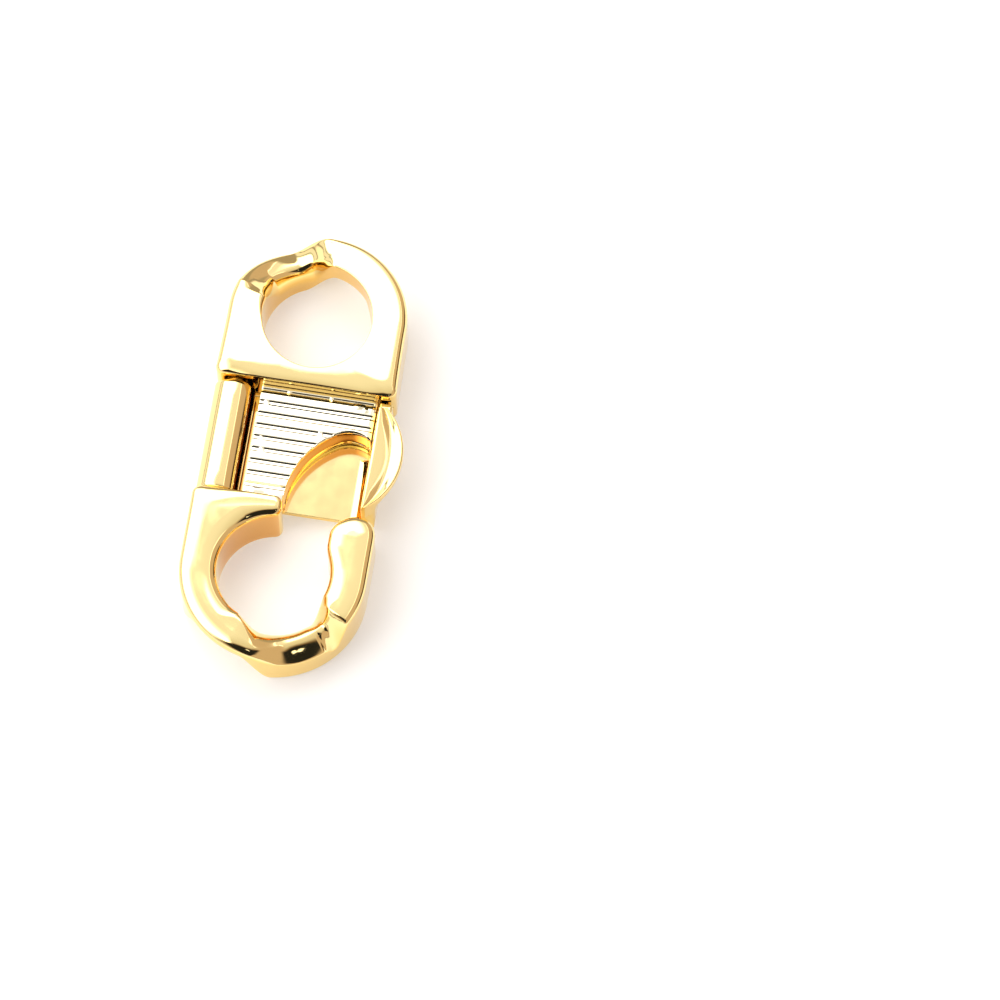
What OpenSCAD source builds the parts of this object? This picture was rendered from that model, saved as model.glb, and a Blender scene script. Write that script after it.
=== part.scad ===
// Carabiner clasp in plated brass, closed: an eye and a hook cast with one ribbed bridge, and a hinged
// gate whose plate lies under the bridge and whose lip closes the hook's mouth.
// It lies on its back: +Z is the front face, +Y the eye, -X the hinge, +X the thumb tab. Millimetres.

/* [Casting] */
// Thickness from the back face to the front face
body_t = 4; // [3.8:0.1:4.2]
// Half the length of the recess that the gate fills, between the eye block and the hook block
recess_half = 3.5; // [3.4:0.05:3.6]
// Rounding of the blocks' outer corners, seen from the front
corner_r = 0.5; // [0.3:0.05:0.7]
// Depth of the four hollows that give the eye and the hook the look of a curb link
scoop_depth = 2; // [1.6:0.1:2.1]
// How fast a hollow widens towards the outside of the ring, in degrees
scoop_taper = 26.5; // [22:0.5:30]

/* [Eye] */
// Diameter of the eye's hole
eye_hole_d = 6.4; // [6:0.1:6.6]
// Outer radius of the eye, which is also half the width of its block
eye_r = 5.25; // [5.1:0.05:5.4]
// Distance from the middle of the recess to the middle of the eye
eye_y = 7.75; // [7.6:0.05:8]
// Distance from the middle of the recess to the middle of the eye's outer round
eye_round_y = 7.45; // [7.3:0.05:7.75]
// Direction in which the eye's front hollow runs, in degrees from +X
eye_scoop_at = 122; // [118:1:126]

/* [Hook] */
// Diameter of the hook's hole
hook_hole_d = 6.5; // [6:0.1:6.6]
// Distance from the middle of the recess to the middle of the hook's hole
hook_hole_y = 7.9; // [7.6:0.05:7.95]
// Outer radius of the hook
hook_r = 5.4; // [5.3:0.05:5.5]
// Distance from the middle of the recess to the middle of the hook's outer round
hook_y = 7.9; // [7.8:0.05:8]
// Offset of the hook towards the thumb tab
hook_x = 0.1; // [0:0.05:0.2]
// Radius of the round end of the hook's arm
arm_tip_r = 1.25; // [1.15:0.05:1.3]
// Distance from the middle of the recess to the centre of that round end
arm_tip_y = 5.3; // [5.2:0.05:5.4]
// Direction in which the hook's front hollow runs, in degrees from +X
hook_scoop_at = 298; // [290:1:302]

/* [Bridge] */
// Thickness of the ribbed bridge, in the middle of the casting
bridge_t = 1.9; // [1.7:0.05:2]
// Left edge of the bridge, beside the hinge
bridge_left = -2.5; // [-2.55:0.05:-2.4]
// Right end of the bridge, beside the lip
bridge_right = 4.25; // [4.1:0.05:4.25]
// Radius of the curved cut that lets a ring into the hook
mouth_r = 5.05; // [4.95:0.05:5.1]
// Radius of that cut's tighter end, which leaves a small nose at the bridge's right end
mouth_end_r = 1.8; // [1.6:0.05:2]
// Distance from one groove to the next
groove_pitch = 0.725; // [0.7:0.005:0.75]
// Width of a groove
groove_w = 0.2; // [0.15:0.01:0.25]
// Depth of a groove
groove_depth = 0.14; // [0.1:0.01:0.2]
// Number of grooves on each face
groove_count = 9; // [7:1:9]

/* [Hinge] */
// Distance of the hinge axis from the middle line
hinge_x = -4.05; // [-4.1:0.01:-4.02]
// Width of the gate's oval knuckle
knuckle_w = 2.4; // [2.3:0.05:2.4]
// Height of the gate's oval knuckle, which clears the bridge as it turns
knuckle_h = 2.84; // [2.6:0.02:2.9]
// Diameter of the hinge pin
pin_d = 1; // [0.8:0.1:1.1]
// Length of pin held in each block
pin_grip = 1; // [0.8:0.1:1.3]
// Running clearance round the pin in the knuckle
pin_clearance = 0.04; // [0.02:0.01:0.08]

/* [Gate] */
// Thickness of the gate's plate
plate_t = 0.45; // [0.4:0.05:0.5]
// Gap between the plate and the underside of the bridge
plate_gap = 0.07; // [0.05:0.01:0.15]
// Gap at each end of the gate, against the two blocks
end_gap = 0.1; // [0.08:0.01:0.15]
// Inner face of the upright lip
lip_in = 4.4; // [4.38:0.01:4.45]
// Outer face of the upright lip
lip_out = 5.15; // [5.05:0.05:5.2]
// Height of the lip beside the thumb tab
lip_top = 2.9; // [2.6:0.1:3.2]
// Radius of the concave corner between the plate and the lip
lip_fillet = 0.7; // [0.5:0.05:0.75]

/* [Thumb tab] */
// Radius of the tab's half-moon rim
tab_r = 4; // [3.9:0.05:4.1]
// Furthest reach of the tab from the middle line
tab_reach = 6.3; // [6.2:0.05:6.4]
// Height of the tab's rim above the back face
tab_top = 3.8; // [3.6:0.05:3.9]
// Thickness of the tab's rim
tab_rim = 0.55; // [0.4:0.05:0.7]
// Upper end of the tab
tab_end_y = 2.85; // [2.7:0.05:3]
// Depth of the dish in the tab
dish_depth = 0.25; // [0.15:0.05:0.3]

/* [Hidden] */
$fn = 96;
mid_z = body_t / 2;
cut = 0.5;
bridge_z0 = mid_z - bridge_t / 2;
bridge_z1 = mid_z + bridge_t / 2;
crossbar_end = -0.05;
// How far behind the ring's middle a hollow would come to a point
scoop_back = 1.6;
arm_x = hook_x + hook_r - arm_tip_r;
mouth_x = 4.9;
mouth_y = -3.28;
mouth_turn_x = 2.26;
// The tighter end touches the main round from inside, where the cut turns
mouth_turn = (mouth_x - mouth_turn_x) / mouth_r;
mouth_end_x = mouth_turn_x + mouth_end_r * mouth_turn;
mouth_end_y = mouth_y + (mouth_r - mouth_end_r) * sqrt(1 - mouth_turn * mouth_turn);
first_groove_y = 3.17;
lip_corner_y = 0.5;
knuckle_r = knuckle_w / 2;
knuckle_rise = (knuckle_h - knuckle_w) / 2;
gate_half = recess_half - end_gap;
plate_z1 = bridge_z0 - plate_gap;
plate_z0 = plate_z1 - plate_t;
plate_left = -2.6;
tongue_y0 = -2.75;
tongue_y1 = gate_half;
pin_hole_clearance = 0.02;
tab_x = tab_reach - tab_r;
tab_y = -0.15;
tab_in = lip_in + 0.05;
tab_flare_z0 = 2;
dish_r = 1.2;
dish_at = 3;
// The part's own origin: the middle of its bounding box, on the surface that it lies on
left_reach = hook_x - hook_r;
top_reach = eye_round_y + eye_r;
bottom_reach = -hook_y - hook_r;
origin_x = (left_reach + tab_reach) / 2;
origin_y = (top_reach + bottom_reach) / 2;

// A square whose two lower corners are round
module block_2d(x0, y0, x1, y1, r) {
    translate([x0, y0 + r]) square([x1 - x0, y1 - y0 - r]);
    translate([x0 + r, y0]) square([x1 - x0 - 2 * r, r + 0.01]);
    for (x = [x0 + r, x1 - r]) translate([x, y0 + r]) circle(r);
}

module half_disc(x, y, r) {
    intersection() {
        translate([x, y]) circle(r);
        translate([x - 2 * r, y]) square([4 * r, 2 * r]);
    }
}

module eye_outline() {
    half_disc(0, eye_round_y, eye_r);
    block_2d(-eye_r, recess_half, eye_r, eye_round_y + 0.01, corner_r);
}

// The hook is a ring with straight sides, cut away between the crossbar and the arm's round end
module hook_outline() {
    left = hook_x - hook_r;
    right = hook_x + hook_r;
    inner_edge = arm_x - arm_tip_r;
    // Where the arm's straight inner edge leaves the hole's round
    leave = sqrt(pow(hook_hole_d / 2, 2) - pow(inner_edge - hook_x, 2));
    difference() {
        mirror([0, 1]) union() {
            half_disc(hook_x, hook_y, hook_r);
            block_2d(left, recess_half, right, hook_y + 0.01, corner_r);
        }
        translate([hook_x, -hook_hole_y]) circle(d = hook_hole_d);
        translate([crossbar_end, -arm_tip_y]) square([right, arm_tip_y]);
        translate([crossbar_end, leave - hook_hole_y]) square([inner_edge - crossbar_end, hook_hole_y]);
    }
    translate([arm_x, -arm_tip_y]) circle(arm_tip_r);
}

// Straight beside the hinge; the curved cut on the other side turns down into a small nose at its end
module bridge_outline() {
    difference() {
        translate([bridge_left, -recess_half - cut])
            square([bridge_right - bridge_left, 2 * (recess_half + cut)]);
        intersection() {
            translate([mouth_x, mouth_y]) circle(mouth_r);
            translate([mouth_turn_x - mouth_r, mouth_y - mouth_r]) square([mouth_r, 3 * mouth_r]);
        }
        translate([mouth_end_x, mouth_end_y]) circle(mouth_end_r);
        translate([mouth_turn_x - cut, -2 * recess_half]) square([2 * eye_r, 2 * recess_half + mouth_end_y]);
    }
}

// A trough with a level floor that widens from the ring's middle outwards, on the front or the back
module scoop(x, y, at, front) {
    floor_z = front ? body_t - scoop_depth : scoop_depth;
    turn = front ? 0 : 180;
    aim = front ? at : -at;
    slope = tan(scoop_taper);
    translate([x, y, floor_z]) rotate([turn, 0, 0]) rotate([0, 0, aim])
        translate([-scoop_back, 0, 0]) rotate([0, 90 - scoop_taper, 0])
            translate([0, 0, 1]) cylinder(h = 8, r1 = slope, r2 = 9 * slope);
}

module pin_cylinder(r, half) {
    translate([hinge_x, half, mid_z]) rotate([90, 0, 0]) cylinder(h = 2 * half, r = r);
}

module grooves(z) {
    for (i = [0 : groove_count - 1])
        translate([bridge_left - cut, first_groove_y - i * groove_pitch - groove_w / 2, z])
            cube([bridge_right - bridge_left + 2 * cut, groove_w, 2 * groove_depth]);
}

// Eye, bridge, crossbar and hook are one casting
module clasp_body() {
    color("gold") difference() {
        union() {
            linear_extrude(body_t) eye_outline();
            linear_extrude(body_t) hook_outline();
            difference() {
                translate([0, 0, bridge_z0]) linear_extrude(bridge_t) bridge_outline();
                grooves(bridge_z1 - groove_depth);
                grooves(bridge_z0 - groove_depth);
            }
        }
        translate([0, eye_y, -cut]) cylinder(h = body_t + 2 * cut, d = eye_hole_d);
        scoop(0, eye_y, eye_scoop_at, true);
        scoop(0, eye_y, 180 - eye_scoop_at, false);
        scoop(hook_x, -hook_hole_y, hook_scoop_at, true);
        scoop(hook_x, -hook_hole_y, 180 - hook_scoop_at, false);
        pin_cylinder(pin_d / 2 + pin_hole_clearance, recess_half + pin_grip + pin_hole_clearance);
    }
}

// The oval tube that turns on the pin, seen along the axis
module knuckle_2d() {
    for (s = [-1, 1]) translate([0, s * knuckle_rise]) circle(knuckle_r);
    translate([-knuckle_r, -knuckle_rise]) square([knuckle_w, 2 * knuckle_rise]);
}

// The half-moon tab flares out of the lip, and its top is dished
module thumb_tab() {
    difference() {
        translate([tab_x, tab_y, 0]) union() {
            translate([0, 0, tab_flare_z0])
                cylinder(h = tab_top - tab_rim - tab_flare_z0, r1 = lip_out - tab_x, r2 = tab_r);
            translate([0, 0, tab_top - tab_rim]) cylinder(h = tab_rim, r = tab_r);
        }
        translate([tab_in - 20, -10, 0]) cube([20, 20, body_t]);
        translate([0, tab_end_y, 0]) cube([10, 10, body_t]);
        translate([tab_x, tab_y, tab_top - dish_depth + dish_r])
            rotate_extrude() translate([dish_at, 0]) circle(dish_r);
    }
}

// Knuckle, tongue, plate, lip and thumb tab are one casting that turns on the pin
module hinged_gate() {
    color("goldenrod") difference() {
        union() {
            translate([hinge_x, gate_half, mid_z]) rotate([90, 0, 0])
                linear_extrude(2 * gate_half) knuckle_2d();
            translate([hinge_x, tongue_y0, plate_z0])
                cube([plate_left + cut - hinge_x, tongue_y1 - tongue_y0, plate_t]);
            translate([plate_left, -gate_half, plate_z0])
                cube([lip_out - plate_left, 2 * gate_half, plate_t]);
            translate([lip_in, -gate_half, plate_z0])
                cube([lip_out - lip_in, 2 * gate_half, lip_top - plate_z0]);
            lip_corner();
            thumb_tab();
        }
        pin_cylinder(pin_d / 2 + pin_clearance, recess_half);
    }
}

// A concave strip stiffens the corner of plate and lip, clear of the bridge's nose
module lip_corner() {
    length = gate_half + lip_corner_y;
    translate([lip_in, -gate_half + length, plate_z1]) rotate([90, 0, 0]) linear_extrude(length)
        difference() {
            translate([-lip_fillet, -0.1]) square([lip_fillet + 0.1, lip_fillet + 0.1]);
            translate([-lip_fillet, lip_fillet]) circle(lip_fillet);
        }
}

module hinge_pin() {
    color("darkgoldenrod") pin_cylinder(pin_d / 2, recess_half + pin_grip);
}

module placed() {
    translate([-origin_x, -origin_y, 0]) children();
}

placed() clasp_body();
placed() hinged_gate();
placed() hinge_pin();
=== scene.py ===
import random
from math import acos, atan2, cos, degrees, pi, radians, sin, sqrt

import bmesh
import bpy
from mathutils import Matrix, Vector


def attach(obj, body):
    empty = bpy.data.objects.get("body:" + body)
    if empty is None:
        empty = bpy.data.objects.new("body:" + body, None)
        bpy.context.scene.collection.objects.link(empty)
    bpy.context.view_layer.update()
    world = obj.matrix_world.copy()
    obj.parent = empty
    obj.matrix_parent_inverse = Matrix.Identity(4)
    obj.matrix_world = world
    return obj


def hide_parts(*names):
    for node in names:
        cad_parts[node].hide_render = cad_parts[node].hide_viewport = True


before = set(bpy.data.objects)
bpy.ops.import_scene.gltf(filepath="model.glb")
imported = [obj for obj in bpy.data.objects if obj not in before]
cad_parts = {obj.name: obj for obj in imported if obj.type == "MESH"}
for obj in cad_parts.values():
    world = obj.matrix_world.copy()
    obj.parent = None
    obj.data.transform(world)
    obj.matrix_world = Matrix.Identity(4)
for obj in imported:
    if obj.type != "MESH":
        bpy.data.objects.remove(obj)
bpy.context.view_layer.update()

# ---------------------------------------------------------------- sizes, in millimetres from the
# middle of the recess: +X towards the thumb tab, +Y towards the eye, +Z up from the surface
MM = 0.001
PART_SHIFT = Vector((-0.5, 0.3, 0.0))
THICK = 4.0
RECESS = 3.5
# Radius of the outline's corners beside the recess
CORNER = 0.5
# How much the cast faces lean off level, as a slope along the clasp
EYE_LEAN, HOOK_LEAN, PLATE_LEAN = 0.004, 0.0085, 0.015

EYE_X, EYE_Y, EYE_HOLE = 0.0, 7.75, 3.2
# Half width, place of the corners, how far the top is flattened, spread of the sides downwards
EYE_SIDE, EYE_CORNER_X, EYE_TOP_DROP, EYE_SPREAD = 5.2, 5.29, 0.25, 0.035
# The hollows of eye and hook, like a curb link's, at the outline (OUT) and at the hole (IN):
# the angles round the hole where each starts, is full, starts to fade, and ends
EYE_FRONT_OUT, EYE_FRONT_IN = (90, 118, 118, 161.5), (81, 105, 142, 167)
EYE_BACK_OUT, EYE_BACK_IN = (17, 58, 68, 94), (22, 40, 78, 114)
HOOK_FRONT_OUT, HOOK_FRONT_IN = (248, 296, 311.5, 319), (250, 292, 310, 319)
HOOK_BACK_OUT, HOOK_BACK_IN = (200, 225, 257, 277), (203, 225, 236, 262)
# Their depths, at the outline and at the hole
EYE_FRONT_DEPTHS, EYE_BACK_DEPTHS = (1.65, 1.5), (1.65, 2.05)
HOOK_FRONT_DEPTHS, HOOK_BACK_DEPTHS = (1.05, 1.05), (2.0, 1.7)

HOOK_X, HOOK_Y, HOOK_HOLE = 0.1, -7.9, 3.25
HOOK_SIDE, HOOK_END_DROP = 5.4, 0.05
# Share of the way from the hole to the outline at which the hook's sections have their middle
HOOK_MIDDLE = 0.487
# Width, drop and squareness: the hook's crowned edges, and the crisp edge of a hollow
HOOK_OUTER_EDGE = (1.0, 0.45, 2.8)
HOOK_INNER_EDGE = (0.97, 0.52, 2.4)
CRISP_EDGE = (0.08, 0.04, 2)
CROSSBAR_REACH, CROSSBAR_ANGLE = 0.52, 100.8
ARM_TIP_Y, ARM_RADIUS, ARM_INNER_X, ARM_BLEND = -5.25, 1.3, 2.9, 0.25

BRIDGE_LOW, BRIDGE_HIGH = 1.05, 2.95
BRIDGE_LEFT, BRIDGE_RIGHT = -2.5, 4.25
# How far the bridge runs into the eye's block and the crossbar, the rounding of its left edge,
# and the bevel of its right edge, as (width, drop)
BRIDGE_OVERLAP, BRIDGE_ROUND, BRIDGE_BEVEL = 0.25, 0.04, (0.32, 0.11)
# The curved cut beside the mouth: a large arc up to MOUTH_TURN_X, then a smaller one
MOUTH_X, MOUTH_Y, MOUTH_R, MOUTH_TURN_X = 4.9, -3.28, 5.05, 2.26
MOUTH_END_R = 1.8
# The cut's wall, as (way in from the cut, drop below the face): bevel, wall, lip and undercut
CUT_WALL = [(0.15, 0.0), (0.135, 0.004), (0.05, 0.062), (0.03, 0.09), (0.012, 0.16), (0.0, 0.3),
            (0.0, 0.8), (0.0, 1.3), (-0.01, 1.38), (-0.05, 1.43), (-0.075, 1.47), (-0.07, 1.51),
            (-0.03, 1.54), (0.15, 1.56), (0.32, 1.6), (0.34, 1.7), (0.34, 1.9)]
# How far down the cut's wall the notch of a groove reaches
CUT_FADE = 0.1
FIRST_GROOVE, GROOVE_PITCH, GROOVE_COUNT = 3.17, 0.725, 9
# Across a groove, as (distance from its line, depth)
GROOVE = [(0.22, 0.0), (0.16, 0.0), (0.10, 0.0), (0.09, 0.003), (0.08, 0.009), (0.012, 0.062),
          (0.0, 0.067), (-0.02, 0.066), (-0.08, 0.056), (-0.13, 0.048), (-0.14, 0.045),
          (-0.23, 0.004), (-0.24, 0.0), (-0.28, 0.0), (-0.36, 0.0), (-0.44, 0.0)]
# Share of that depth in the first groove, and where plating has filled one
FIRST_GROOVE_SHARE, WORN_SHARE = 0.8, 0.25
# Drops of solder on the ribs: x, y, half width, half length, height
SOLDER_DROPS = [(3.25, 3.0, 0.32, 0.16, 0.07), (3.65, 2.78, 0.16, 0.12, 0.06),
                (-1.75, -3.0, 0.36, 0.12, 0.05), (-0.75, -3.12, 0.2, 0.14, 0.06)]

HINGE_X, HINGE_Z = -4.05, 2.0
KNUCKLE_R, KNUCKLE_RISE, KNUCKLE_HALF, KNUCKLE_FILLET = 1.2, 0.22, 3.4, 0.28
PIN_BORE, BORE_BEVEL = 0.54, 0.03
PLATE_LOW, PLATE_HIGH, PLATE_LEFT = 0.53, 0.98, -2.6
TONGUE_LOW, TONGUE_HIGH, TONGUE_OVERLAP, TONGUE_SINK = -2.75, 3.4, 0.5, 0.004
LIP_IN, LIP_OUT, LIP_TOP, LIP_FILLET, LIP_CORNER = 4.4, 5.15, 2.9, 0.7, 0.25
TAB_X, TAB_Y, TAB_R, TAB_TOP, TAB_END, TAB_ROOT = 2.3, -0.15, 4.0, 3.8, 2.85, 4.62
# The tab's dish, its deepest place as a share of the way out, the rounding of its rim, its foot
TAB_DISH, DISH_DEEPEST, TAB_RIM, TAB_FOOT = 0.27, 0.62, 0.14, 2.0

# Points closer than SEAM are one point, and faces narrower than SLIVER go
SEAM, SLIVER = 0.0004, 0.0002


# ---------------------------------------------------------------- small helpers
def ease(start, end, t):
    """0 before start, 1 after end, with a soft start and end between; start may be the larger."""
    t = min(1.0, max(0.0, (t - start) / (end - start)))
    return t * t * (3 - 2 * t)


def crisp(start, end, t):
    """Like ease, but it sets off at once, which leaves a crease where it starts."""
    t = min(1.0, max(0.0, (t - start) / (end - start)))
    return 1 - (1 - t) ** 1.25


def between(t, start, full, fade, end, close=ease):
    """0 before start, 1 from full to fade, 0 after end; close shapes the last stretch."""
    return ease(start, full, t) * close(end, fade, t)


def mix(a, b, t):
    return a + (b - a) * t


def evenly(start, end, steps):
    """The values from start to end in equal steps, both ends among them."""
    return [mix(start, end, i / steps) for i in range(steps + 1)]


def quarter_turn(steps):
    """The angles of a quarter turn after its first, which is 0."""
    return [pi / 2 * i / steps for i in range(1, steps + 1)]


def soft_least(a, b, sharpness):
    """The smaller of two lengths, with a soft change from one to the other."""
    return (a ** -sharpness + b ** -sharpness) ** (-1 / sharpness)


def heading(angle):
    return Vector((cos(radians(angle)), sin(radians(angle))))


def sheet_of(columns, rows, place):
    """A grid whose corner (column, row) goes where place says, in millimetres."""
    bm = bmesh.new()
    bmesh.ops.create_grid(bm, x_segments=columns, y_segments=rows, size=1.0)
    for v in bm.verts:
        column = round((v.co.x + 1) / 2 * columns)
        row = round((v.co.y + 1) / 2 * rows)
        v.co = place(column, row)
    return bm


def add_part(bm, part):
    """Adds one bmesh to another."""
    mesh = bpy.data.meshes.new("part")
    part.to_mesh(mesh)
    part.free()
    bm.from_mesh(mesh)
    bpy.data.meshes.remove(mesh)


def bevel_edges(bm, edges, width):
    bmesh.ops.bevel(bm, geom=edges, offset=width, offset_type="OFFSET", segments=2, profile=0.5,
                    affect="EDGES", material=-1)


def finish_piece(name, bm, body, nodes, materials):
    """Closes seams, turns faces outwards, and hands the piece to its body."""
    bmesh.ops.remove_doubles(bm, verts=bm.verts, dist=SEAM)
    bmesh.ops.dissolve_degenerate(bm, edges=bm.edges, dist=SLIVER)
    bmesh.ops.recalc_face_normals(bm, faces=bm.faces)
    bmesh.ops.translate(bm, vec=PART_SHIFT, verts=bm.verts)
    bmesh.ops.scale(bm, vec=Vector((MM, MM, MM)), verts=bm.verts)
    mesh = bpy.data.meshes.new(name)
    bm.to_mesh(mesh)
    bm.free()
    piece = bpy.data.objects.new(name, mesh)
    bpy.context.scene.collection.objects.link(piece)
    for material in materials:
        mesh.materials.append(material)
    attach(piece, body)
    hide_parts(*nodes)
    return piece


# ---------------------------------------------------------------- rounded metal sections
# A section of the casting runs from its outer wall over the face to its middle and on to its
# inner wall, and back below. It has an outer and an inner half, each with an edge at its top and
# one at its low face, and both halves meet in the middle.
EDGE_STEPS, FACE_STEPS, WALL_STEPS = 12, 10, 3
# Above 1, a slope is steepest at its crisp edge
SLOPE_CURVE = 1.4
# Squareness of the round ends; 2 would be a half circle
CAP_SQUARENESS = 2.5


def edge(height, width, drop, squareness, slope_drop=0, slope_width=1):
    """One edge: the face's height, its rounding, and a slope down to it where it is crisp."""
    return (height, width, drop, squareness, slope_drop, slope_width)


def crowned(height, shape, most):
    """A crowned edge of the hook, no wider than most."""
    width, drop, squareness = shape
    return edge(height, min(width, most), drop, squareness)


def mix_edges(first, second, t):
    return tuple(mix(a, b, t) for a, b in zip(first, second))


def half_steps():
    """The stations from the middle of a wall to the middle of a face, as (kind, fraction)."""
    steps = [("wall", i / WALL_STEPS) for i in range(WALL_STEPS)]
    steps += [("edge", i / EDGE_STEPS) for i in range(EDGE_STEPS)]
    steps += [("face", i / FACE_STEPS) for i in range(FACE_STEPS)]
    return steps + [("face", 1.0)]


STEPS = half_steps()


def ring_rows():
    """All stations round a section: (half, top, step)."""
    outer_up = [("outer", True, s) for s in STEPS]
    inner_down = [("inner", True, s) for s in reversed(STEPS[:-1])]
    inner_low = [("inner", False, s) for s in STEPS[1:]]
    outer_low = [("outer", False, s) for s in reversed(STEPS[:-1])]
    return outer_up + inner_down + inner_low + outer_low


RING_ROWS = ring_rows()


def edge_drop(distance, width, drop, squareness):
    left = max(0.0, 1 - distance / width)
    return drop * (1 - sqrt(max(0.0, 1 - left ** squareness)))


def half_point(half, middle, step, top):
    """A point of one half of a section; half is {"at", "room", "top", "low"}."""
    kind, t = step
    if kind == "wall":
        face_z, _, drop, _, slope_drop, _ = half["top"]
        top_end = face_z - drop - slope_drop
        face_z, _, drop, _, slope_drop, _ = half["low"]
        low_end = face_z + drop + slope_drop
        return Vector((*half["at"], mix((top_end + low_end) / 2, top_end if top else low_end, t)))

    face = "top" if top else "low"
    face_z, width, drop, squareness, slope_drop, slope_width = half[face]
    width = min(width, 0.96 * half["room"])
    if kind == "edge":
        inset = width * (1 - cos(t * pi / 2) ** (2 / squareness))
    else:
        inset = mix(width, half["room"], t)
    way = inset / half["room"]
    slope = slope_drop * max(0.0, 1 - inset / min(slope_width, half["room"])) ** SLOPE_CURVE
    fall = edge_drop(inset, width, drop, squareness) + slope
    z = mix(face_z, middle[face], ease(0, 1, way)) + (-fall if top else fall)
    flat = half["at"].lerp(middle["at"], way)
    return Vector((flat.x, flat.y, z))


def loft_ring(sections):
    """One sheet through a list of sections; the caps or a repeat of the first section close it."""
    def place(column, row):
        section = sections[column]
        half, top, step = RING_ROWS[row]
        return half_point(section[half], section["middle"], step, top)
    return sheet_of(len(sections) - 1, len(RING_ROWS) - 1, place)


def loft_cap(section, tip, columns, turn=0.0, shave=None):
    """The round end beyond a section: tip is the way from its middle to the end of the metal."""
    middle, outer, inner = section["middle"], section["outer"], section["inner"]
    rows = [(True, s) for s in reversed(STEPS)] + [(False, s) for s in STEPS[1:]]
    power = 2 / CAP_SQUARENESS

    def place(column, row):
        top, step = rows[row]
        a = pi / 2 - pi * column / columns
        share = (1 + sin(a)) / 2
        wall_at = outer["at"] if a >= 0 else inner["at"]
        across = (wall_at - middle["at"]) * abs(sin(a)) ** power
        way = tip.copy()
        way.rotate(Matrix.Rotation(radians(turn) * (1 - sin(a)) / 2, 2))
        at = middle["at"] + way * cos(a) ** power + across
        if shave:
            at = shave(at, middle["at"])
        half = {"at": at, "room": mix(inner["room"], outer["room"], share)}
        for face in ("top", "low"):
            half[face] = mix_edges(inner[face], outer[face], share)
        return half_point(half, middle, step, top)
    return sheet_of(columns, len(rows) - 1, place)


def block_reach(across, down, corner_x, depth, side_reach):
    """How far a block's outline lies from the middle of its hole, towards the recess.

    across and down are the parts of the direction, depth is the way to the block's end, and
    side_reach is how far its side lies in this direction. The corner between them is round.
    """
    corner = Vector((corner_x - CORNER, depth - CORNER))
    along = across * corner.x + down * corner.y
    inside = CORNER ** 2 - corner.length_squared + along ** 2
    if inside > 0:
        reach = along + sqrt(inside)
        if reach * across > corner.x and reach * down > corner.y:
            return reach
    return min(side_reach, depth / down)


# ---------------------------------------------------------------- the eye
def eye_reach(angle):
    """How far the eye's outline lies from the middle of its hole."""
    across, up = abs(cos(radians(angle))), sin(radians(angle))
    if up >= 0:
        return EYE_SIDE - EYE_TOP_DROP * up ** 3
    side = EYE_SIDE / max(across - EYE_SPREAD * up * up, 0.01)
    return block_reach(across, -up, EYE_CORNER_X, EYE_Y - RECESS, side)


def eye_section(angle):
    """A section of the eye; angles run from the thumb tab's side over the top."""
    way = heading(angle)
    centre = Vector((EYE_X, EYE_Y))
    # The front hollow lies at the upper left, with a crisp lower end, the back one at the upper
    # right, and the hole flares out below the front hollow
    front_out = between(angle, *EYE_FRONT_OUT, close=crisp)
    front_in = between(angle, *EYE_FRONT_IN, close=crisp)
    back_out = between(angle, *EYE_BACK_OUT)
    back_in = between(angle, *EYE_BACK_IN)
    flare = between(angle, 138, 156, 166, 196)

    # The front hollow draws the outline in a little; hollows move the middle away from the hole
    outer_at = centre + way * (eye_reach(angle) - 0.12 * front_out)
    inner_at = centre + way * EYE_HOLE
    share = 0.16 + 0.3 * max(front_out, front_in, back_in) + 0.12 * flare
    middle_at = inner_at.lerp(outer_at, share)
    room = (outer_at - middle_at).length
    if way.y < 0:
        room = soft_least(middle_at.y - RECESS, EYE_SIDE + 0.04 - abs(middle_at.x), 5)

    top_out = THICK - EYE_FRONT_DEPTHS[0] * front_out - EYE_LEAN * (outer_at.y - RECESS)
    top_in = THICK - EYE_FRONT_DEPTHS[1] * front_in - EYE_LEAN * (inner_at.y - RECESS)
    low_out, low_in = EYE_BACK_DEPTHS[0] * back_out, EYE_BACK_DEPTHS[1] * back_in
    # The front edge is fullest on the left and the right, and long and shallow at the recess
    rounded = edge(top_out, 0.5, 0.3, 2.5)
    rounded = mix_edges(rounded, edge(top_out, 0.65, 0.55, 2.2), ease(0.3, 0.9, -way.x))
    rounded = mix_edges(rounded, edge(top_out, 0.55, 0.45, 2.2), ease(0.3, 0.9, way.x))
    shallow = edge(top_out, 1.25 + 0.4 * way.x, 0.17, 2.7)
    rounded = mix_edges(rounded, shallow, ease(0.55, 0.8, -way.y))
    hollow = edge(top_out, *CRISP_EDGE, 0.36, 0.95)
    return {
        "outer": {
            "at": outer_at, "room": room, "top": mix_edges(rounded, hollow, front_out),
            "low": edge(low_out, mix(0.5, 0.95, back_out), mix(0.3, 0.9, back_out),
                        mix(3, 2, back_out)),
        },
        "inner": {
            "at": inner_at, "room": (inner_at - middle_at).length,
            "top": edge(top_in, mix(0.08 + 0.3 * flare, 0.85, front_in),
                        mix(0.05 + 0.35 * flare, 1.4, front_in), 2),
            "low": edge(low_in, 0.08 + 0.3 * back_in, 0.05 + 0.15 * back_in, 2),
        },
        "middle": {
            "at": middle_at, "top": mix(top_in, top_out, 0.4), "low": mix(low_in, low_out, 0.4),
        },
    }


# ---------------------------------------------------------------- the hook
def hook_reach(angle):
    """How far the hook's outline lies from the middle of its hole."""
    across, up = abs(cos(radians(angle))), sin(radians(angle))
    if up <= 0:
        return HOOK_SIDE - HOOK_END_DROP * abs(up) ** 3
    return block_reach(across, up, HOOK_SIDE, -RECESS - HOOK_Y, HOOK_SIDE / max(across, 0.01))


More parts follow.
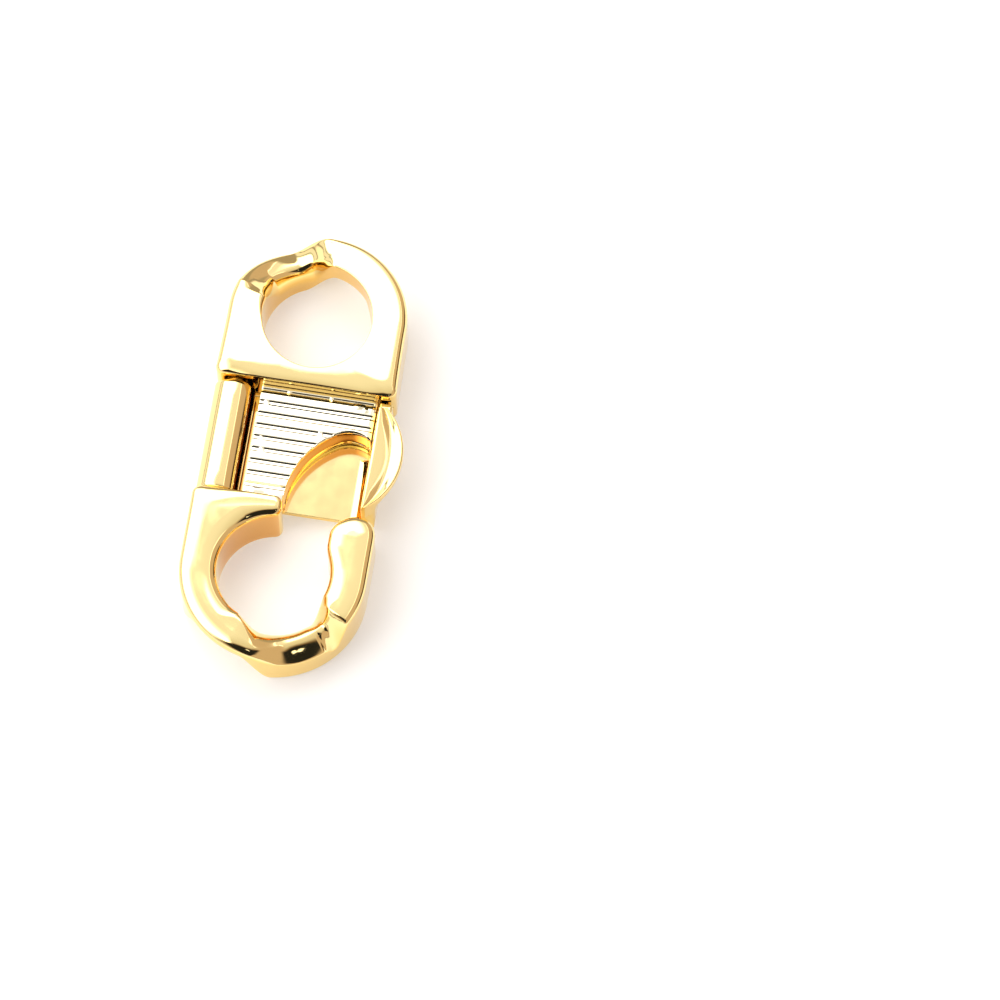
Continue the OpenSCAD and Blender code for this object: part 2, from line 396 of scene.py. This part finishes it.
def hook_section(angle):
    """A section of the ring, from the crossbar's end round to the foot of the arm."""
    centre = Vector((HOOK_X, HOOK_Y))
    # At the crossbar's end the sections turn a little, to meet its round end
    outer_angle = angle - 1.5 * ease(130, CROSSBAR_ANGLE, angle)
    outer_at = centre + heading(outer_angle) * hook_reach(outer_angle)
    inner_at = centre + heading(angle) * HOOK_HOLE

    # The front hollow lies at the lower right, the back hollow at the lower left; beyond the
    # front one its floor runs on as a shoulder, which a slope ends at the outline
    front_out, front_in = between(angle, *HOOK_FRONT_OUT), between(angle, *HOOK_FRONT_IN)
    back_out, back_in = between(angle, *HOOK_BACK_OUT), between(angle, *HOOK_BACK_IN)
    shoulder = ease(333, 320, angle) if angle > 300 else 0.0
    # Towards the hole the face falls away: how far, how steeply, and over what width
    fall = (2.9 + 0.5 * ease(275, 305, angle)) * between(angle, 236, 262, 316, 350)
    steep = between(angle, 228, 250, 325, 345)
    wide = min(1.0, max(0.0, (angle - 232) / 34)) ** 2.2 * ease(341, 323, angle)

    share = mix(mix(HOOK_MIDDLE, 0.7, wide), 0.46, between(angle, 268, 292, 330, 340))
    middle_at = inner_at.lerp(outer_at, share)
    room, inner_room = (outer_at - middle_at).length, (inner_at - middle_at).length
    if angle < 180:
        room = soft_least(-RECESS - middle_at.y, HOOK_SIDE + middle_at.x - HOOK_X, 4)

    deep_out, deep_in = HOOK_FRONT_DEPTHS
    top_out = THICK - deep_out * max(front_out, shoulder) - HOOK_LEAN * (-RECESS - outer_at.y)
    top_in = THICK - deep_in * max(front_in, shoulder) - HOOK_LEAN * (-RECESS - inner_at.y)
    low_out, low_in = HOOK_BACK_DEPTHS[0] * back_out, HOOK_BACK_DEPTHS[1] * back_in

    width, drop, squareness = HOOK_INNER_EDGE
    inner_width = mix(min(width, 0.9 * inner_room), 0.12 + 1.3 * wide, max(steep, wide))
    inner_drop = max(mix(drop, 0.3, steep), fall - (THICK - top_in))
    crease = mix(2, 1.3, ease(306, 321, angle))
    squareness = mix(mix(2.0, squareness, ease(125, 160, angle)), crease, steep)

    full = crowned(top_out, HOOK_OUTER_EDGE, 0.92 * room)
    flat = mix_edges(edge(top_out, 0.35, 0.15, 2.5), full, ease(112, 150, angle))
    hollow = edge(top_out, *CRISP_EDGE, 0.66, 1.3)
    slope = edge(top_out, *CRISP_EDGE, 1.35, 1.0)
    outer = mix_edges(flat, hollow, min(1.0, 1.3 * front_out))
    outer = mix_edges(outer, slope, shoulder * (1 - front_out))
    return {
        "outer": {
            "at": outer_at, "room": room, "top": outer,
            "low": edge(low_out, mix(0.8, 1.3, back_out), mix(0.3, 1.3, back_out),
                        mix(4, 2, back_out)),
        },
        "inner": {
            "at": inner_at, "room": inner_room,
            "top": edge(top_in, inner_width, inner_drop, squareness),
            "low": edge(low_in, 0.3, 0.15, 3),
        },
        "middle": {
            "at": middle_at, "top": mix(top_in, top_out, 0.5), "low": mix(low_in, low_out, 0.5),
        },
    }


def arm_section(y):
    """A level section of the arm, between the ring and its round end."""
    rise = y - HOOK_Y
    # The hole's wall runs softly into the arm's own inner wall
    round_x = HOOK_X + sqrt(max(0.0, HOOK_HOLE ** 2 - rise ** 2))
    inner_x = max(round_x, ARM_INNER_X)
    if abs(round_x - ARM_INNER_X) < ARM_BLEND:
        inner_x = ARM_INNER_X + (round_x - ARM_INNER_X + ARM_BLEND) ** 2
    outer_at, inner_at = Vector((HOOK_X + HOOK_SIDE, y)), Vector((inner_x, y))
    middle_at = inner_at.lerp(outer_at, mix(HOOK_MIDDLE, 0.5, ease(HOOK_Y, ARM_TIP_Y, y)))
    room, inner_room = (outer_at - middle_at).length, (inner_at - middle_at).length
    level = THICK - HOOK_LEAN * (-RECESS - y)
    top = crowned(level, HOOK_OUTER_EDGE, 0.92 * room)
    inner = crowned(level, HOOK_INNER_EDGE, 0.9 * inner_room)
    inner = mix_edges(inner, top, ease(HOOK_Y + 0.5, ARM_TIP_Y, y))
    return {
        "outer": {"at": outer_at, "room": room, "top": top, "low": edge(0, 0.8, 0.3, 4)},
        "inner": {"at": inner_at, "room": inner_room, "top": inner, "low": edge(0, 0.3, 0.15, 3)},
        "middle": {"at": middle_at, "top": level, "low": 0.0},
    }


def shave_arm(at, middle):
    """The arm's round end is a little flatter on its upper left."""
    way = at - middle
    angle = degrees(atan2(way.y, way.x))
    off = max(0.0, 1 - ((angle - 133) / 50) ** 2)
    return middle + way * (1 - 0.18 / ARM_RADIUS * off * off)


def eye_and_hook():
    bm = bmesh.new()
    add_part(bm, loft_ring([eye_section(360 * i / 480) for i in range(481)]))
    # The sections are closer where the hollow turns into the shoulder
    angles = sorted(evenly(CROSSBAR_ANGLE, 360, 300) + evenly(308.1, 334.1, 60))
    ring = [hook_section(angle) for angle in angles]
    arm = [arm_section(y) for y in evenly(HOOK_Y, ARM_TIP_Y, 36)[1:]]
    add_part(bm, loft_ring(ring + arm))
    add_part(bm, loft_cap(ring[0], Vector((CROSSBAR_REACH, 0)), 36, turn=CROSSBAR_ANGLE - 90))
    add_part(bm, loft_cap(arm[-1], Vector((0, ARM_RADIUS)), 48, shave=shave_arm))
    return bm


# ---------------------------------------------------------------- the ribbed bridge
def mouth_edge():
    """Stations along the curved cut, from its foot at the crossbar to its nose, as (x, y)."""
    turn = acos((MOUTH_X - MOUTH_TURN_X) / MOUTH_R)
    end_x = MOUTH_TURN_X + MOUTH_END_R * cos(turn)
    end_y = MOUTH_Y + (MOUTH_R - MOUTH_END_R) * sin(turn)
    last = acos((end_x - BRIDGE_RIGHT) / MOUTH_END_R)
    points = []
    for i in range(101):
        a = turn * i / 100
        points.append((MOUTH_X - MOUTH_R * cos(a), MOUTH_Y + MOUTH_R * sin(a)))
    for a in evenly(turn, last, 40)[1:]:
        points.append((end_x - MOUTH_END_R * cos(a), end_y + MOUTH_END_R * sin(a)))
    return points


def groove_rows():
    """(y, depth) of the ribbed face from the eye's block down to the crossbar."""
    rows = [(RECESS + BRIDGE_OVERLAP, 0.0)]
    for i in range(GROOVE_COUNT):
        line = FIRST_GROOVE - i * GROOVE_PITCH
        share = FIRST_GROOVE_SHARE if i == 0 else 1.0
        rows += [(line + dy, depth * share) for dy, depth in GROOVE]
    return rows + [(-RECESS - BRIDGE_OVERLAP, 0.0)]


def groove_depth(rows, y):
    for (y0, d0), (y1, d1) in zip(rows, rows[1:]):
        if y1 <= y <= y0:
            return mix(d0, d1, (y0 - y) / (y0 - y1))
    return 0.0


def worn_spots():
    """Small places where plating has filled a groove, as (x, half length, number of the groove)."""
    rng = random.Random(7)
    return [(rng.uniform(-2.3, 3.9), rng.uniform(0.03, 0.10), rng.randrange(GROOVE_COUNT))
            for _ in range(9)]


def groove_fill(spots, x, y):
    """The share of its depth that a groove keeps at a point."""
    for at, half, number in spots:
        if abs(y - (FIRST_GROOVE - number * GROOVE_PITCH)) < 0.2 and abs(x - at) < half:
            return WORN_SHARE
    return 1.0


def solder_bump(x, y):
    """How high the drops left on the ribs stand at a point."""
    height = 0.0
    for at_x, at_y, wide, long, high in SOLDER_DROPS:
        off = ((x - at_x) / wide) ** 2 + ((y - at_y) / long) ** 2
        height = max(height, high * max(0.0, 1 - off) ** 0.6)
    return height


def bridge_stations(mouth):
    """Across the bridge, as (x, lower end, inset of the faces; None where both faces meet)."""
    low = -RECESS - BRIDGE_OVERLAP
    bevel, bevel_drop = BRIDGE_BEVEL
    columns = [(x, low) for x in evenly(BRIDGE_LEFT, mouth[0][0], 24)[:-1]] + mouth
    stations = [(BRIDGE_LEFT, low, None)]
    stations += [(BRIDGE_LEFT + BRIDGE_ROUND * (1 - cos(a)), low, BRIDGE_ROUND * (1 - sin(a)))
                 for a in (0.0, 0.4, 0.8, 1.2)]
    stations += [(x, y, 0.0) for x, y in columns
                 if BRIDGE_LEFT + 0.05 < x < BRIDGE_RIGHT - bevel - 0.02]
    for i in range(9):
        t = 1 - i / 8
        x = BRIDGE_RIGHT - bevel * t
        end = min(mouth, key=lambda p: abs(p[0] - x))[1]
        stations.append((x, end, bevel_drop * (1 - t) ** 2))
    return stations + [(BRIDGE_RIGHT, mouth[-1][1], None)]


def ribbed_bridge():
    """One sheet round the bridge: its ribbed front, the wall of the cut, and its ribbed back."""
    rows = groove_rows()
    spots = worn_spots()
    stations = bridge_stations(mouth_edge())
    middle_z = (BRIDGE_LOW + BRIDGE_HIGH) / 2
    half = (BRIDGE_HIGH - BRIDGE_LOW) / 2
    bevel_in, undercut = CUT_WALL[0][0], CUT_WALL[-1][0]
    loop = [("top", r) for r in rows] + [("wall", w) for w in CUT_WALL]
    loop += [("low", r) for r in reversed(rows)]
    loop.append(loop[0])

    def place(column, row):
        x, end, inset = stations[column]
        kind, what = loop[row]
        if kind == "wall":
            way_in, drop = what
            y = end + way_in
            depth = groove_depth(rows, end + bevel_in) * groove_fill(spots, x, end + bevel_in)
            z = half - drop - depth * max(0.0, 1 - drop / CUT_FADE)
        else:
            y, depth = what
            stop = end + (bevel_in if kind == "top" else undercut)
            if y <= stop:
                y, depth = stop, groove_depth(rows, stop)
            z = half - depth * groove_fill(spots, x, y)
            z = z + solder_bump(x, y) if kind == "top" else -z
        z *= 0.0 if inset is None else (half - inset) / half
        return Vector((x, y, middle_z + z))

    return sheet_of(len(stations) - 1, len(loop) - 1, place)


# ---------------------------------------------------------------- the hinged gate
def barrel():
    """The oval knuckle: one sheet round its length, its ends and its bore."""
    half, fillet, bevel, sides = KNUCKLE_HALF, KNUCKLE_FILLET, BORE_BEVEL, 128
    # Each row is (share of the way from the bore to the outside, y, inset)
    profile = [(1.0, y, 0.0) for y in evenly(-half + fillet, half - fillet, 8)]
    profile += [(1.0, half - fillet * (1 - sin(a)), fillet * (1 - cos(a)))
                for a in quarter_turn(8)]
    profile += [(0.5, half, fillet), (0.0, half, bevel), (0.0, half - bevel, 0.0),
                (0.0, -half + bevel, 0.0), (0.0, -half, bevel), (0.5, -half, fillet)]
    profile += [(1.0, -half + fillet * (1 - sin(a)), fillet * (1 - cos(a)))
                for a in reversed(quarter_turn(8))]
    profile.append(profile[0])

    def place(column, row):
        share, y, inset = profile[row]
        a = 2 * pi * column / sides
        outer_r = KNUCKLE_R - inset
        # The upper and the lower half are moved apart, which makes the oval
        rise = KNUCKLE_RISE * (1 if sin(a) > 0 else -1) * min(1.0, abs(sin(a)) * 8)
        ox, oz = outer_r * cos(a), outer_r * sin(a) + rise
        bore = PIN_BORE + inset if share == 0.0 else PIN_BORE
        bx, bz = bore * cos(a), bore * sin(a)
        return Vector((HINGE_X + mix(bx, ox, share), y, HINGE_Z + mix(bz, oz, share)))
    return sheet_of(sides, len(profile) - 1, place)


def tab_reach(y):
    inside = TAB_R ** 2 - (y - TAB_Y) ** 2
    return TAB_X + sqrt(max(0.0, inside))


def dish_depth(t):
    """The dish in the tab's top from its root to its rim, as a share of its greatest depth."""
    if t < DISH_DEEPEST:
        return (t / DISH_DEEPEST) ** 1.6
    return ease(0, 1.25, (1 - t) / (1 - DISH_DEEPEST)) / ease(0, 1.25, 1)


def gate_rim(y):
    """The gate's section across the clasp at y, as a closed list of (x, z)."""
    tab = ease(TAB_END + 0.06, TAB_END - 0.02, y)
    fillet = mix(0.12, LIP_FILLET, ease(0.55, 0.4, y))
    reach = mix(LIP_OUT, max(tab_reach(y), TAB_ROOT), tab)
    top = mix(LIP_TOP, TAB_TOP, tab)
    face = PLATE_HIGH + PLATE_LEAN * y

    # The plate's face, the fillet and the lip's inner wall
    points = [(x, face) for x in evenly(PLATE_LEFT, LIP_IN - fillet - 0.03, 6)]
    points += [(LIP_IN - fillet + fillet * sin(a), face + fillet * (1 - cos(a)))
               for a in [0.0] + quarter_turn(10)]
    start = LIP_IN + 0.05 * tab
    points += [(LIP_IN, mix(face + fillet, top - 0.3, 0.5)), (LIP_IN, top - 0.3)]
    points += [(start, top - 0.1), (start + 0.02, top - 0.03), (start + 0.06, top)]

    # The dished top, its rim, and the underside back to the lip's outer wall
    span = reach - start
    dish = TAB_DISH * tab * min(1.0, span / 1.2)
    points += [(start + 0.06 + (span - TAB_RIM) * t, top - dish * dish_depth(t))
               for t in [i / 15 for i in range(1, 15)]]
    rim = min(TAB_RIM, span / 4)
    points += [(reach - rim + rim * sin(a), top - rim * (1 - cos(a)))
               for a in [0.0] + quarter_turn(5)]
    skirt = mix(top - 0.12, top - 0.5, tab)
    points.append((reach, skirt))
    foot = TAB_FOOT if tab > 0 else skirt - 0.1
    points += [(mix(reach, min(reach, LIP_OUT), ease(0, 1, t)), mix(skirt, foot, t))
               for t in [i / 8 for i in range(1, 9)]]

    # The outer wall, its lower corner, and the plate's back
    points += [(LIP_OUT, 1.3), (LIP_OUT, PLATE_LOW + LIP_CORNER)]
    points += [(LIP_OUT - LIP_CORNER * (1 - cos(a)), PLATE_LOW + LIP_CORNER * (1 - sin(a)))
               for a in quarter_turn(6)]
    points += [(x, PLATE_LOW) for x in evenly(LIP_OUT - LIP_CORNER, PLATE_LEFT, 6)[1:]]
    return points + [(PLATE_LEFT, face)]


def plate_lip_tab():
    """Plate, lip and tab as one sheet of sections, closer where the tab ends."""
    ys = evenly(-KNUCKLE_HALF, KNUCKLE_HALF, 120)
    ys = sorted(ys + [TAB_END + 0.055, TAB_END + 0.03, TAB_END + 0.005, TAB_END - 0.015])
    rims = [gate_rim(y) for y in ys]

    def place(column, row):
        x, z = rims[column][row]
        return Vector((x, ys[column], z))
    bm = sheet_of(len(ys) - 1, len(rims[0]) - 1, place)
    bmesh.ops.remove_doubles(bm, verts=bm.verts, dist=SEAM)
    bmesh.ops.holes_fill(bm, edges=[e for e in bm.edges if e.is_boundary], sides=0)
    bmesh.ops.recalc_face_normals(bm, faces=bm.faces)
    ends = [f for f in bm.faces if abs(f.normal.y) > 0.99 and len(f.verts) > 20]
    bevel_edges(bm, list({e for f in ends for e in f.edges}), 0.03)
    return bm


def tongue():
    """The plate's neck, which joins it to the knuckle below the bridge."""
    bm = bmesh.new()
    bmesh.ops.create_cube(bm, size=1.0)
    size = Vector((PLATE_LEFT + TONGUE_OVERLAP - HINGE_X, TONGUE_HIGH - TONGUE_LOW,
                   PLATE_HIGH - PLATE_LOW))
    middle = Vector((HINGE_X + size.x / 2, (TONGUE_HIGH + TONGUE_LOW) / 2,
                     (PLATE_HIGH + PLATE_LOW) / 2 - TONGUE_SINK))
    bmesh.ops.scale(bm, vec=size, verts=bm.verts)
    bmesh.ops.translate(bm, vec=middle, verts=bm.verts)
    bevel_edges(bm, bm.edges[:], 0.05)
    return bm


def gate_parts():
    bm = bmesh.new()
    for part in (barrel(), plate_lip_tab(), tongue()):
        add_part(bm, part)
    return bm


# ---------------------------------------------------------------- finishes
GOLD = (1.0, 0.79, 0.36, 1)
# Painted reflection, for gold mirrored in gold: deeper on walls that face -Y, and deepest inside
# the two holes
WALL_REFLECTION_GOLD = (0.97, 0.68, 0.19, 1)
HOLE_REFLECTION_GOLD = (0.86, 0.43, 0.07, 1)
# Bridge: pale ribs with little plate, painted reflection on the cut's wall, painted shade at the
# slot
RIB_GOLD = (1.0, 0.93, 0.72, 1)
MOUTH_REFLECTION_GOLD = (0.95, 0.40, 0.025, 1)
SLOT_SHADE = (0.22, 0.09, 0.02, 1)
BRASS = (0.80, 0.62, 0.30, 1)

# How far the deepest painted reflection reaches from the middle of each hole, and how strong it is
# there
HOLE_REFLECTION_REACH = 3.36
HOLE_REFLECTION_STRENGTHS = {"Eye": 0.4, "Hook": 1.0}
# Marks of polishing, in features per metre, and their height in metres
CLOUDS, RIB_CLOUDS, HAIRLINES = 900.0, 2500.0, 9000.0
MARK_HEIGHT = 0.00001


class Nodes:
    """Adds and links shader nodes in one tree."""
    def __init__(self, tree):
        self.tree = tree

    def add(self, kind, inputs=None, **settings):
        node = self.tree.nodes.new(kind)
        for name, value in settings.items():
            setattr(node, name, value)
        for name, value in (inputs or {}).items():
            if isinstance(value, bpy.types.NodeSocket):
                self.tree.links.new(value, node.inputs[name])
            else:
                node.inputs[name].default_value = value
        return node

    def math(self, operation, a, b=0.0):
        return self.add("ShaderNodeMath", {0: a, 1: b}, operation=operation).outputs[0]

    def times(self, a, b):
        return self.math("MULTIPLY", a, b)

    def ease(self, value, start, end, low=0.0, high=1.0):
        """From low before start to high after end; start may be the larger."""
        flip = start > end
        node = self.add("ShaderNodeMapRange", {
            "Value": value, "From Min": min(start, end), "From Max": max(start, end),
            "To Min": high if flip else low, "To Max": low if flip else high},
            interpolation_type="SMOOTHSTEP")
        return node.outputs["Result"]

    def between(self, value, start, full, fade, end):
        return self.times(self.ease(value, start, full), self.ease(value, end, fade))

    def blend(self, factor, a, b):
        node = self.add("ShaderNodeMix", {"Factor": factor, "A": a, "B": b}, data_type="RGBA")
        return node.outputs["Result"]

    def upright(self, facing):
        """A mask of walls, from the parts of the direction that the surface faces."""
        return self.ease(self.math("ABSOLUTE", facing[2]), 0.5, 0.15)


def new_group(name, inputs, outputs):
    """An empty shader group with number sockets, and its Nodes."""
    tree = bpy.data.node_groups.new(name, "ShaderNodeTree")
    for way, names in (("INPUT", inputs), ("OUTPUT", outputs)):
        for socket in names:
            tree.interface.new_socket(socket, in_out=way, socket_type="NodeSocketFloat")
    return tree, Nodes(tree)


def hole_reflection_group():
    """A mask of painted reflection, gold mirrored in gold: walls inside the two holes that face -Y.
    """
    tree, n = new_group("painted reflection in the holes", ("Eye X", "Eye Y", "Hook X", "Hook Y", "Reach"),
                        ("Mask",))
    given = n.add("NodeGroupInput").outputs
    coords = n.add("ShaderNodeTexCoord").outputs
    x, y, _ = n.add("ShaderNodeSeparateXYZ", {0: coords["Object"]}).outputs
    facing = n.add("ShaderNodeSeparateXYZ", {0: coords["Normal"]}).outputs
    wall = n.times(n.upright(facing), n.ease(facing[1], 0.1, -0.35))
    masks = []
    for name, strength in HOLE_REFLECTION_STRENGTHS.items():
        dx = n.math("SUBTRACT", x, given[name + " X"])
        dy = n.math("SUBTRACT", y, given[name + " Y"])
        away = n.math("SQRT", n.math("ADD", n.times(dx, dx), n.times(dy, dy)))
        masks.append(n.times(n.math("LESS_THAN", away, given["Reach"]), strength))
    inside = n.math("MAXIMUM", masks[0], masks[1])
    n.add("NodeGroupOutput", {"Mask": n.times(inside, wall)})
    return tree


def polish_group():
    """Faint marks of polishing: a mask of cloudy gloss and a height of ripples and hairlines."""
    tree, n = new_group("polishing marks", ("Cloud Scale", "Hairline Scale"), ("Gloss", "Height"))
    given = n.add("NodeGroupInput").outputs
    place = n.add("ShaderNodeTexCoord").outputs["Object"]
    cloud = n.add("ShaderNodeTexNoise", {
        "Vector": place, "Scale": given["Cloud Scale"], "Detail": 3.0}).outputs["Fac"]
    stretched = n.add("ShaderNodeMapping", {
        "Vector": place, "Scale": (1.0, 0.08, 1.0), "Rotation": (0.0, 0.0, 0.5)}).outputs[0]
    hair = n.add("ShaderNodeTexNoise", {
        "Vector": stretched, "Scale": given["Hairline Scale"], "Detail": 2.0}).outputs["Fac"]
    height = n.math("ADD", n.times(cloud, 0.7), n.times(hair, 0.3))
    n.add("NodeGroupOutput", {"Gloss": cloud, "Height": height})
    return tree


POLISH = polish_group()
HOLE_REFLECTION = hole_reflection_group()


def plated_metal(name, colour, painted_light_colour, roughness, bump, clouds=CLOUDS, bridge=False):
    """Polished plate, with faint marks and a painted reflection, a deeper colour, on its walls.

    On the bridge every wall takes the painted reflection's colour, and the side at the slot gets
    painted shade.
    Elsewhere walls that face -Y get a deeper painted reflection, and those inside the two holes the
    deepest.
    """
    material = bpy.data.materials.new(name)
    material.use_nodes = True
    tree = material.node_tree
    tree.nodes.clear()
    n = Nodes(tree)
    marks = n.add("ShaderNodeGroup", {"Cloud Scale": clouds, "Hairline Scale": HAIRLINES},
                  node_tree=POLISH).outputs
    coords = n.add("ShaderNodeTexCoord").outputs
    facing = n.add("ShaderNodeSeparateXYZ", {0: coords["Normal"]}).outputs
    wall = n.upright(facing)
    if bridge:
        # Painted reflection: every wall of the bridge takes the orange; painted shade on its side
        # at the slot
        painted_light_mask = wall
        painted_light_colour = n.blend(n.ease(facing[0], -0.5, -0.8), painted_light_colour, SLOT_SHADE)
    else:
        sizes = {"Eye X": EYE_X + PART_SHIFT.x, "Eye Y": EYE_Y + PART_SHIFT.y,
                 "Hook X": HOOK_X + PART_SHIFT.x, "Hook Y": HOOK_Y + PART_SHIFT.y,
                 "Reach": HOLE_REFLECTION_REACH}
        # Painted reflection: the deepest gold, on walls inside the two holes that face -Y
        painted_light_mask = n.add("ShaderNodeGroup", {socket: size * MM for socket, size in sizes.items()},
                     node_tree=HOLE_REFLECTION).outputs["Mask"]
        # Painted reflection: a deeper gold on walls that face -Y
        wall_reflection = n.times(wall, n.ease(facing[1], 0.3, -0.3))
        colour = n.blend(wall_reflection, colour, WALL_REFLECTION_GOLD)
    gloss = n.ease(marks["Gloss"], 0.3, 0.7, roughness * 0.7, roughness * 1.3)
    relief = n.add("ShaderNodeBump", {
        "Height": marks["Height"], "Strength": bump, "Distance": MARK_HEIGHT}).outputs[0]
    shader = n.add("ShaderNodeBsdfPrincipled", {
        "Base Color": n.blend(painted_light_mask, colour, painted_light_colour), "Metallic": 1.0, "Roughness": gloss,
        "Normal": relief})
    n.add("ShaderNodeOutputMaterial", {"Surface": shader.outputs[0]})
    return material


# ---------------------------------------------------------------- studio
# The camera's focal length and the frame's side in pixels, the sensor's in millimetres
LENS_FOCAL, FRAME_SIDE, SENSOR = 8000.0, 1000, 36
VIEW_TILT, CLASP_TURN, CAMERA_DISTANCE = 70.0, 9.2, 462.4
EYE_ON_TABLE = Vector((-10.553, 9.893))
# In metres: the floor's half side, its drop below the clasp, and where it starts and ends to fade
FLOOR_HALF, FLOOR_DROP, FLOOR_FADE = 1.5, 0.00002, (0.045, 0.075)
FLOOR_NEAR, FLOOR_FAR = (0.70, 0.69, 0.685, 1), (0.30, 0.26, 0.22, 1)
FLOOR_GLOW, NO_GLOW = (0.37, 0.363, 0.36, 1), (0.0, 0.0, 0.0, 1)


def table_to_part(point):
    """From the photograph's table, x right and y away, to the part's frame, in metres."""
    a = radians(CLASP_TURN)
    across, along = Vector((cos(a), -sin(a))), Vector((sin(a), cos(a)))
    base = EYE_ON_TABLE - along * EYE_Y
    flat = Vector(point[:2]) - base
    return (Vector((flat.dot(across), flat.dot(along), point[2])) + PART_SHIFT) * MM


def camera():
    tilt = radians(VIEW_TILT)
    place = table_to_part((0, -CAMERA_DISTANCE * cos(tilt), CAMERA_DISTANCE * sin(tilt)))
    aim = table_to_part((0, 0, 0))
    lens = bpy.data.cameras.new("camera")
    lens.sensor_width = SENSOR
    lens.lens = SENSOR * LENS_FOCAL / FRAME_SIDE
    cam = bpy.data.objects.new("camera", lens)
    bpy.context.scene.collection.objects.link(cam)
    cam.location = place
    cam.rotation_euler = (aim - place).to_track_quat("-Z", "Y").to_euler()
    bpy.context.scene.camera = cam


def floor():
    """A pale floor that glows a little near the clasp and is darker further out."""
    bm = bmesh.new()
    bmesh.ops.create_grid(bm, x_segments=1, y_segments=1, size=FLOOR_HALF)
    bmesh.ops.translate(bm, vec=Vector((0, 0, -FLOOR_DROP)), verts=bm.verts)
    mesh = bpy.data.meshes.new("floor")
    bm.to_mesh(mesh)
    bm.free()
    plane = bpy.data.objects.new("floor", mesh)
    bpy.context.scene.collection.objects.link(plane)
    material = bpy.data.materials.new("pale floor")
    material.use_nodes = True
    tree = material.node_tree
    shader = tree.nodes["Principled BSDF"]
    n = Nodes(tree)
    place = n.add("ShaderNodeTexCoord").outputs["Object"]
    away = n.add("ShaderNodeVectorMath", {0: place}, operation="LENGTH").outputs["Value"]
    far = n.ease(away, *FLOOR_FADE)
    tree.links.new(n.blend(far, FLOOR_NEAR, FLOOR_FAR), shader.inputs["Base Color"])
    tree.links.new(n.blend(far, FLOOR_GLOW, NO_GLOW), shader.inputs["Emission Color"])
    shader.inputs["Emission Strength"].default_value = 1.0
    shader.inputs["Roughness"].default_value = 0.9
    shader.inputs["Specular IOR Level"].default_value = 0.0
    mesh.materials.append(material)


def studio_light():
    """A soft light tent: its brightness over px, the angle to the right, and py, the angle away."""
    world = bpy.data.worlds.new("light tent")
    bpy.context.scene.world = world
    world.use_nodes = True
    tree = world.node_tree
    tree.nodes.clear()
    n = Nodes(tree)
    way = n.add("ShaderNodeTexCoord").outputs["Generated"]
    turned = n.add("ShaderNodeMapping", {"Vector": way, "Rotation": (0, 0, -radians(CLASP_TURN))},
                   vector_type="VECTOR").outputs[0]
    x, y, z = n.add("ShaderNodeSeparateXYZ", {0: turned}).outputs
    px = n.times(n.math("ARCTAN2", x, z), 180 / pi)
    py = n.times(n.math("ARCSINE", y), 180 / pi)

    # White cloth at the back, with its edge on a slant, and on the left
    slant = n.times(n.math("SUBTRACT", px, 2.5), 1 / 10.5)
    past = n.math("SUBTRACT", n.math("SUBTRACT", py, 20.75), slant)
    back_white = n.times(n.ease(past, -1.1, -0.15), n.ease(px, 24, 3))
    left_white = n.times(n.ease(px, -7, -24), n.ease(py, -40, -20))
    # On the right a bright line and a dark strip, which stop short of the camera's side
    behind = n.ease(py, -14, -4)
    bright_line = n.times(behind, n.between(px, 35, 36.5, 38, 39.5))
    dark_strip = n.times(behind, n.times(n.ease(px, 70, 76), n.ease(py, 34, 22)))
    camera_side = n.times(n.ease(py, -25, -32), n.between(px, -50, -44, 42, 50))
    lamp = n.times(n.between(py, -42.5, -41.5, -37.5, -36.5), n.between(px, 19.5, 20.5, 24.5, 25.5))

    # Each layer lies over those before it; the tent starts white and turns warm towards the camera
    colour = (1.0, 1.0, 1.0, 1)
    for mask, paint in (
            (n.ease(py, 18, -20), (0.80, 0.76, 0.68, 1)),
            (n.ease(py, -18, -30), (0.30, 0.20, 0.12, 1)),
            (n.ease(px, 30, 46), (0.65, 0.50, 0.40, 1)),
            (bright_line, (2.0, 2.0, 2.0, 1)),
            (dark_strip, (0.10, 0.06, 0.03, 1)),
            (n.math("MAXIMUM", back_white, left_white), (3.0, 3.0, 3.0, 1)),
            # Far left and behind, the tent ends in pale card with a seam and in brown card
            (n.ease(px, -66, -71), (1.0, 1.0, 1.0, 1)),
            (n.between(px, -77, -75.5, -73, -71.5), (0.45, 0.45, 0.42, 1)),
            (n.ease(py, 50, 64), (0.42, 0.36, 0.30, 1)),
            # The camera's side is dark, with one small lamp
            (camera_side, (0.02, 0.02, 0.02, 1)),
            (lamp, (2.0, 2.0, 1.9, 1))):
        colour = n.blend(mask, colour, paint)
    background = n.add("ShaderNodeBackground", {"Color": colour, "Strength": 1.0})
    n.add("ShaderNodeOutputWorld", {"Surface": background.outputs[0]})


# ---------------------------------------------------------------- the clasp
def smooth(piece):
    """Smooth faces, except those over half a square millimetre, which stay flat."""
    for face in piece.data.polygons:
        face.use_smooth = face.area < 0.5 * MM * MM


gold = plated_metal("polished gold plate", GOLD, HOLE_REFLECTION_GOLD, 0.075, 0.1)
rib_gold = plated_metal("pale ribbed plate", RIB_GOLD, MOUTH_REFLECTION_GOLD, 0.1, 0.5, RIB_CLOUDS,
                        bridge=True)
brass = plated_metal("pin brass", BRASS, BRASS, 0.25, 0.3)

casting = finish_piece("casting", eye_and_hook(), "casting", ["clasp_body"],
                       [gold])
bridge = finish_piece("ribbed_bridge", ribbed_bridge(), "casting",
                      ["clasp_body"], [rib_gold])
gate = finish_piece("gate", gate_parts(), "gate", ["hinged_gate"], [gold])
for piece in (casting, bridge, gate):
    smooth(piece)
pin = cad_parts["hinge_pin"]
pin.data.materials.clear()
pin.data.materials.append(brass)

camera()
floor()
studio_light()
bpy.context.scene.view_settings.view_transform = "Standard"
